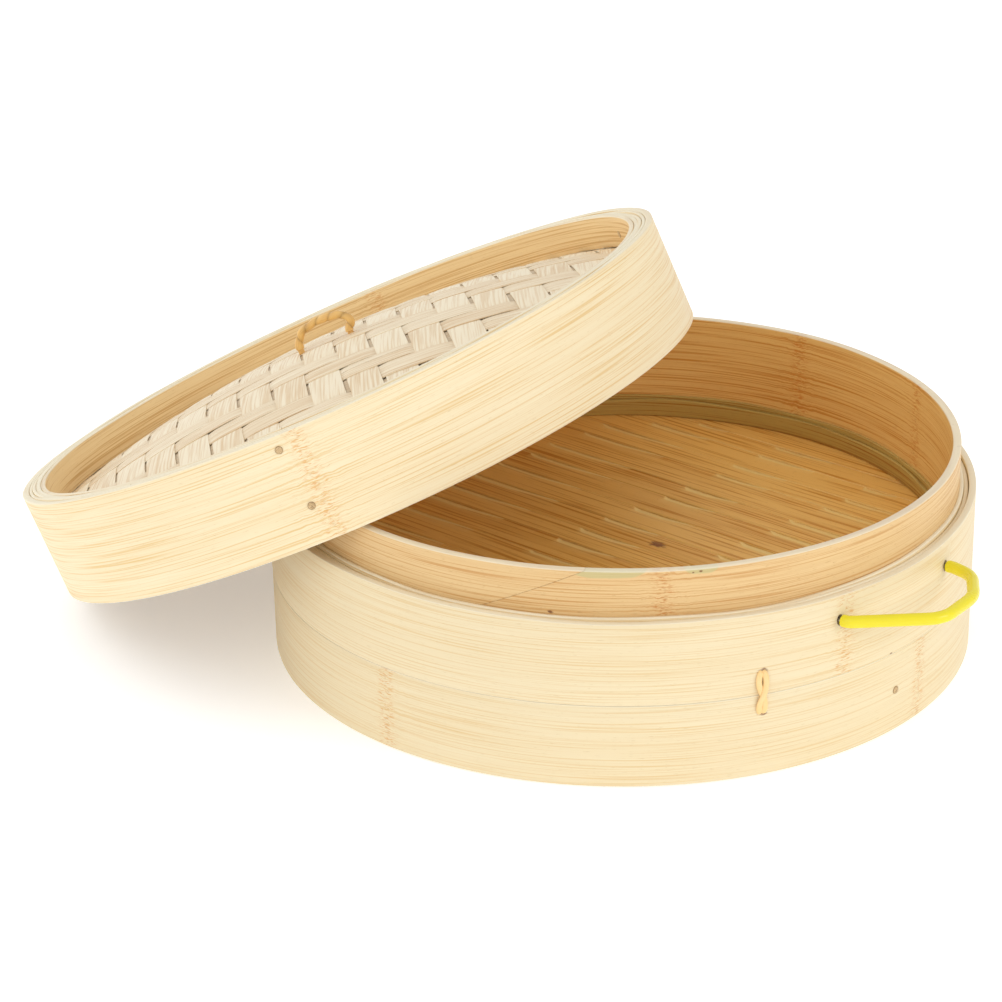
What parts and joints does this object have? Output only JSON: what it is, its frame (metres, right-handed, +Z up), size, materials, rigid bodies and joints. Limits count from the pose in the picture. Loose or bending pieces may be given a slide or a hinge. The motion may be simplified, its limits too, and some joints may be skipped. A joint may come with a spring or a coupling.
{
  "type": "bamboo steamer basket",
  "caption": "Round bamboo steamer basket with slatted floor, collar for stacking, sleeved wire side handles and a lid of woven strips with a rattan loop, leaning on the rim.",
  "frame": {"origin": "centre of the basket's underside, in the plane that it stands on", "axes": "+Z up along the basket's axis; +X to the right and +Y away, seen from the front where the joint of the collar and the rattan stitch are; the right handle points between +X and -Y"},
  "size_m": [0.411, 0.3518, 0.1693],
  "materials": {
    "outer_bamboo": "smooth planed, pale",
    "inner_bamboo": "smooth planed, golden",
    "floor_bamboo": "split, satin",
    "green_bamboo": "natural skin, satin",
    "woven_strips": "thin split strips, dry",
    "rattan": "skin, satin",
    "peg_bamboo": "cut ends",
    "steel_wire": "plain drawn wire",
    "yellow_sleeve": "glossy"
  },
  "bodies": {
    "basket": {"collar_band": "inner_bamboo", "floor_cross_bar_1": "inner_bamboo", "floor_cross_bar_2": "inner_bamboo", "floor_ledge_ring": "inner_bamboo", "floor_slat_01": "floor_bamboo", "floor_slat_02": "floor_bamboo", "floor_slat_03": "floor_bamboo", "floor_slat_04": "floor_bamboo", "floor_slat_05": "floor_bamboo", "floor_slat_06": "floor_bamboo", "floor_slat_07": "floor_bamboo", "floor_slat_08": "floor_bamboo", "floor_slat_09": "floor_bamboo", "floor_slat_10": "floor_bamboo", "floor_slat_11": "floor_bamboo", "floor_slat_12": "floor_bamboo", "floor_slat_13": "floor_bamboo", "floor_slat_14": "floor_bamboo", "floor_slat_15": "floor_bamboo", "floor_slat_16": "floor_bamboo", "floor_slat_17": "floor_bamboo", "foot_strip": "inner_bamboo", "inner_filler_strip": "inner_bamboo", "inner_retaining_strip": "green_bamboo", "ledge_pegs": "peg_bamboo", "lower_outer_band": "outer_bamboo", "outer_filler_strip": "inner_bamboo", "outer_retaining_strip": "green_bamboo", "rattan_stitch": "rattan", "upper_outer_band": "outer_bamboo", "wall_peg": "peg_bamboo"},
    "right_handle": {"right_handle_wire": "steel_wire", "right_handle_sleeve": "yellow_sleeve"},
    "left_handle": {"left_handle_wire": "steel_wire", "left_handle_sleeve": "yellow_sleeve"},
    "lid": {"lid_inner_filler": "inner_bamboo", "lid_inner_liner": "inner_bamboo", "lid_lower_ring": "inner_bamboo", "lid_outer_band": "outer_bamboo", "lid_outer_filler": "inner_bamboo", "lid_outer_liner": "inner_bamboo", "lid_pegs": "peg_bamboo", "woven_mat": "woven_strips", "lining_mat": "woven_strips"},
    "loop": {"loop_core": "rattan", "loop_wrap": "rattan"}
  },
  "joints": [
    {"name": "lid_lift", "type": "slide", "parent": "basket", "child": "lid", "axis": [0, 0, 1], "range_m": [0, 0.14]},
    {"name": "right_handle_turn", "type": "hinge", "parent": "basket", "child": "right_handle", "pos_m": [0.10019, -0.09985, 0.059], "axis": [-0.7059, -0.7083, 0], "range_deg": [-12, 12]},
    {"name": "left_handle_turn", "type": "hinge", "parent": "basket", "child": "left_handle", "pos_m": [-0.10019, 0.09985, 0.059], "axis": [0.7059, 0.7083, 0], "range_deg": [-12, 12]},
    {"name": "loop_flop", "type": "hinge", "parent": "lid", "child": "loop", "pos_m": [-0.12676, 0.06686, 0.10443], "axis": [0.8968, -0.1697, 0.4086], "range_deg": [-20, 20]}
  ]
}
